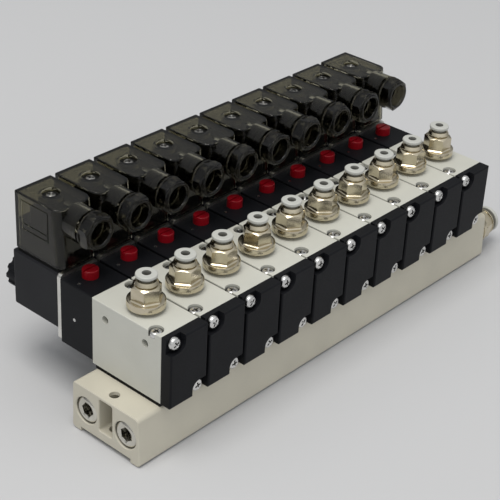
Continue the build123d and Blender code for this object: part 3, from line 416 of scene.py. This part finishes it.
def release_fitting(thread_r, thread_end, neck_r, flange_r, flange_bottom, flange_top, flats, hex_top,
                    collar_r, collar_top, bore_r, seat_r, seat_bottom, seat_top, flow_r):
    """The brass body of a push-in fitting, with its seat on the plane z = 0."""
    corner = flats / math.sqrt(3)
    rows = [(flow_r, thread_end), (thread_r - 0.6, thread_end)]
    rows += thread_rows(thread_r, THREAD_DEPTH, THREAD_PITCH, thread_end + 0.4, -0.5)
    rows += [(thread_r, -0.4), (thread_r, 0.0), (neck_r, 0.0), (neck_r, flange_bottom - 0.15),
             (flange_r - 0.6, flange_bottom), (flange_r - 0.2, flange_bottom + 0.05),
             (flange_r, flange_bottom + 0.25), (flange_r, flange_top - 0.22),
             (flange_r - 0.07, flange_top - 0.07), (flange_r - 0.22, flange_top),
             (corner + 0.6, flange_top, flats + 1.2), (corner + 0.5, flange_top + 0.12, flats + 1.0),
             (corner + 0.05, flange_top + 0.5, flats + 0.1)]
    rows += hexagon_rows(flats, flange_top + 0.52, hex_top)
    rows += [(flats / 2 - 0.2, hex_top + 0.1), (collar_r + 0.5, hex_top + 0.4),
             (collar_r - 0.25, hex_top + 0.5), (collar_r - 0.25, hex_top + 0.95),
             (collar_r + 0.35, hex_top + 1.1), (collar_r + 0.4, hex_top + 1.4),
             (collar_r + 0.3, hex_top + 1.6), (collar_r - 0.25, collar_top - 0.2),
             (collar_r - 0.4, collar_top), (bore_r + 0.15, collar_top), (bore_r, collar_top - 0.15),
             (bore_r, seat_top), (seat_r, seat_top), (seat_r, seat_bottom), (flow_r, seat_bottom)]
    return turned(rows)


def socket_plug(radius, length, chamfer, flats, depth):
    """A threaded plug about Z, its face on the plane z = 0, with a hexagon socket."""
    corner = flats / math.sqrt(3)
    rows = [(radius - 0.6, -length)]
    rows += thread_rows(radius, THREAD_DEPTH, THREAD_PITCH, 0.3 - length, -chamfer - 0.5)
    rows += [(radius - 0.35, -chamfer - 0.4), (radius - 0.35, -chamfer),
             (radius - 0.45, -chamfer + 0.1), (radius - 1.45, -0.06), (radius - 1.6, 0.0),
             (corner + 0.75, 0.0), (corner + 0.6, -0.06), (corner, -0.5, flats),
             (corner, 0.3 - depth, flats), (corner * 0.8, -depth)]
    return turned(rows, hollow=False)


def pan_head(radius, height, shank_r, length):
    """A pan head screw about Z with its head on the plane z = 0 and a tapered cross recess."""
    rows = [(shank_r - 0.4, -length), (shank_r, 0.4 - length), (shank_r, 0.0), (radius - 0.15, 0.0),
            (radius, 0.15), (radius, height * 0.42), (radius * 0.985, height * 0.6),
            (radius * 0.93, height * 0.78), (radius * 0.82, height * 0.91), (radius * 0.66, height * 0.98),
            (radius * 0.4, height), (radius * 0.1, height)]
    head = turned(rows, sides=48, hollow=False)
    cutter = bmesh.new()
    rings = []
    for above, arm, half in RECESS_ARMS:
        corners = []
        for quarter in range(4):
            turn = Matrix.Rotation(math.radians(90 * quarter), 3, "Z")
            for x, y in ((half, -half), (arm, -half), (arm, half)):
                corners.append(cutter.verts.new(turn @ Vector((x, y, height + above))))
        rings.append(corners)
    for upper, lower in zip(rings, rings[1:]):
        for i in range(12):
            j = (i + 1) % 12
            cutter.faces.new((upper[i], upper[j], lower[j], lower[i]))
    cutter.faces.new(rings[0])
    cutter.faces.new(rings[-1][::-1])
    return cut(head, cutter)


def screws(name, node, seats, up, sizes, material=None):
    """Pan head screws at the same seats of every station, each turned by chance."""
    places = []
    for x in STATION_X:
        for seat in seats:
            place = Vector(seat) + Vector((x, 0.0, 0.0))
            places.append(standing(place, up, 90.0 * random.random()))
    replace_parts(finished(copied(pan_head(**sizes), places), name, "zinc_steel", material), node)


random.seed(7)

outlet_places = [standing((x, OUTLET_Y, BODY_TOP), (0, 0, 1), turn)
                 for x, turn in zip(STATION_X, OUTLET_TURNS)]
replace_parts(finished(copied(release_fitting(**OUTLET), outlet_places), "outlet_fitting_bodies",
                     "nickel_brass"), "outlet_fittings")
supply_places = [standing(SUPPLY_SEAT, (1, 0, 0), SUPPLY_TURN)]
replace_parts(finished(copied(release_fitting(**SUPPLY), supply_places), "supply_fitting_body",
                     "nickel_brass", "supply_brass"), "supply_fitting")
plug_places = [standing((PLUG_FACE_X, y, PLUG_Z), (-1, 0, 0), turn)
               for y, turn in zip((-PLUG_Y, PLUG_Y), PLUG_TURNS)]
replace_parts(finished(copied(socket_plug(**PLUG), plug_places), "end_plug_bodies",
                     "nickel_brass", "plug_nickel"), "end_plugs")

screws("cover_screw_heads", "cover_screws", COVER_SCREW_SEATS, (0, -1, 0), COVER_SCREW)
screws("hold_down_heads", "hold_down_screws", HOLD_DOWN_SEATS, (0, 0, 1), HOLD_DOWN_SCREW)
# The connector screws get the darker steel, as painted shade for their deep wells
screws("connector_screw_heads", "connector_screws", (CONNECTOR_SCREW_SEAT,), (0, 0, 1),
       CONNECTOR_SCREW, "painted_shade_steel")


def gland():
    """The hollow gland screw about Z, its flange standing on the plane z = 0."""
    rows = [(5.3, -5.0), (6.2, -5.0)]
    rows += thread_rows(6.55, 0.4, 1.1, -4.8, -0.3)
    rows += [(6.3, 0.0), (6.3, 0.6), (8.2, 0.6), (8.4, 0.75), (8.4, 1.15), (8.25, 1.3), (8.0, 1.4),
             (7.7, 1.4)]
    rows += hexagon_rows(15.4, 1.4, 6.2)
    rows += [(7.1, 6.3), (7.0, 6.45), (7.0, 6.85), (6.9, 7.0), (6.7, 7.1), (6.05, 7.1), (5.85, 7.0),
             (5.45, 6.5), (5.3, 6.2)]
    return turned(rows)


gland_places = [standing((x, GLAND_Y, GLAND_Z), (0, -1, 0), turn)
                for x, turn in zip(STATION_X, GLAND_TURNS)]
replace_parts(finished(copied(gland(), gland_places), "gland_bodies", "gland_plastic"), "gland_screws")


def rubber_ring(inner, outer, bottom, top):
    """A flat ring about Z with rounded outer edges."""
    return turned([(inner, bottom), (outer - 0.15, bottom), (outer, bottom + 0.15), (outer, top - 0.15),
                   (outer - 0.15, top), (inner, top)])


finished(copied(rubber_ring(6.45, 7.7, 0.02, 0.58), gland_places), "gland_rings", "black_rubber")
# Painted shade: a black ring laid in each connector screw well darkens the well around the head
well_places = [standing(Vector(CONNECTOR_SCREW_SEAT) + Vector((x, 0.0, 0.0)), (0, 0, 1), 0.0)
               for x in STATION_X]
finished(copied(rubber_ring(2.55, 4.15, 0.02, 1.1), well_places), "connector_well_shade_rings", "black_rubber")


def camera():
    """The camera, at the place and with the turn that were fitted to the photograph."""
    azimuth = math.radians(CAMERA_AZIMUTH)
    elevation = math.radians(CAMERA_ELEVATION)
    back = Vector((math.sin(azimuth) * math.cos(elevation), -math.cos(azimuth) * math.cos(elevation),
                   math.sin(elevation)))
    turn = (-back).to_track_quat("-Z", "Y").to_matrix() @ Matrix.Rotation(
        math.radians(CAMERA_ROLL), 3, "Z")
    data = bpy.data.cameras.new("camera")
    data.lens = CAMERA_LENS
    data.sensor_width = 36.0
    data.clip_start = 0.01
    data.clip_end = 20.0
    made = bpy.data.objects.new("camera", data)
    made.matrix_world = Matrix.Translation(CAMERA_PLACE) @ turn.to_4x4()
    bpy.context.scene.collection.objects.link(made)
    bpy.context.scene.camera = made


def area_light(name, place, target, size, power, colour):
    """A rectangular lamp at place that faces target."""
    data = bpy.data.lights.new(name, "AREA")
    data.shape = "RECTANGLE"
    data.size = size[0]
    data.size_y = size[1]
    data.energy = power
    data.color = colour
    made = bpy.data.objects.new(name, data)
    place = Vector(place)
    made.location = place
    made.rotation_mode = "QUATERNION"
    made.rotation_quaternion = (Vector(target) - place).to_track_quat("-Z", "Y")
    bpy.context.scene.collection.objects.link(made)


def world(low, high, shown):
    """A soft dome, brightest above the front, that the camera and clear plastic see as plain."""
    made = bpy.data.worlds.new("studio")
    made.use_nodes = True
    tree = made.node_tree
    tree.nodes.clear()
    place = tree.nodes.new("ShaderNodeTexCoord")
    towards = tree.nodes.new("ShaderNodeVectorMath")
    towards.operation = "DOT_PRODUCT"
    towards.inputs[1].default_value = Vector(DOME_AXIS).normalized()
    tree.links.new(place.outputs["Generated"], towards.inputs[0])
    strength = tree.nodes.new("ShaderNodeMapRange")
    for key, value in (("From Min", -0.2), ("From Max", 0.95), ("To Min", low), ("To Max", high)):
        strength.inputs[key].default_value = value
    tree.links.new(towards.outputs["Value"], strength.inputs["Value"])
    path = tree.nodes.new("ShaderNodeLightPath")
    seen = tree.nodes.new("ShaderNodeMath")
    seen.operation = "MAXIMUM"
    tree.links.new(path.outputs["Is Camera Ray"], seen.inputs[0])
    tree.links.new(path.outputs["Is Transmission Ray"], seen.inputs[1])
    light = tree.nodes.new("ShaderNodeBackground")
    light.inputs["Color"].default_value = (0.97, 0.985, 1.0, 1.0)
    tree.links.new(strength.outputs["Result"], light.inputs["Strength"])
    view = tree.nodes.new("ShaderNodeBackground")
    view.inputs["Color"].default_value = shown + (1.0,)
    mix = tree.nodes.new("ShaderNodeMixShader")
    tree.links.new(seen.outputs[0], mix.inputs[0])
    tree.links.new(light.outputs[0], mix.inputs[1])
    tree.links.new(view.outputs[0], mix.inputs[2])
    out = tree.nodes.new("ShaderNodeOutputWorld")
    tree.links.new(mix.outputs[0], out.inputs[0])
    bpy.context.scene.world = made


def floor():
    """A wide plain floor, a tenth of a millimetre under the object."""
    reach = 6.0
    level = -0.0001
    mesh = bpy.data.meshes.new("floor")
    mesh.from_pydata([(-reach, -reach, level), (reach, -reach, level), (reach, reach, level),
                      (-reach, reach, level)], [], [(0, 1, 2, 3)])
    made = bpy.data.objects.new("floor", mesh)
    surface = Surface("floor", Base_Color=(0.555, 0.558, 0.568, 1.0), Roughness=0.8)
    mesh.materials.append(surface.material)
    bpy.context.scene.collection.objects.link(made)


camera()
floor()
world(low=0.16, high=0.85, shown=(0.56, 0.565, 0.575))
area_light("key", place=(-0.5, -0.05, 1.8), target=(0.0, 0.0, 0.03), size=(1.0, 1.0), power=18.5,
           colour=(1.0, 0.975, 0.93))

scene = bpy.context.scene
scene.view_settings.view_transform = "Standard"
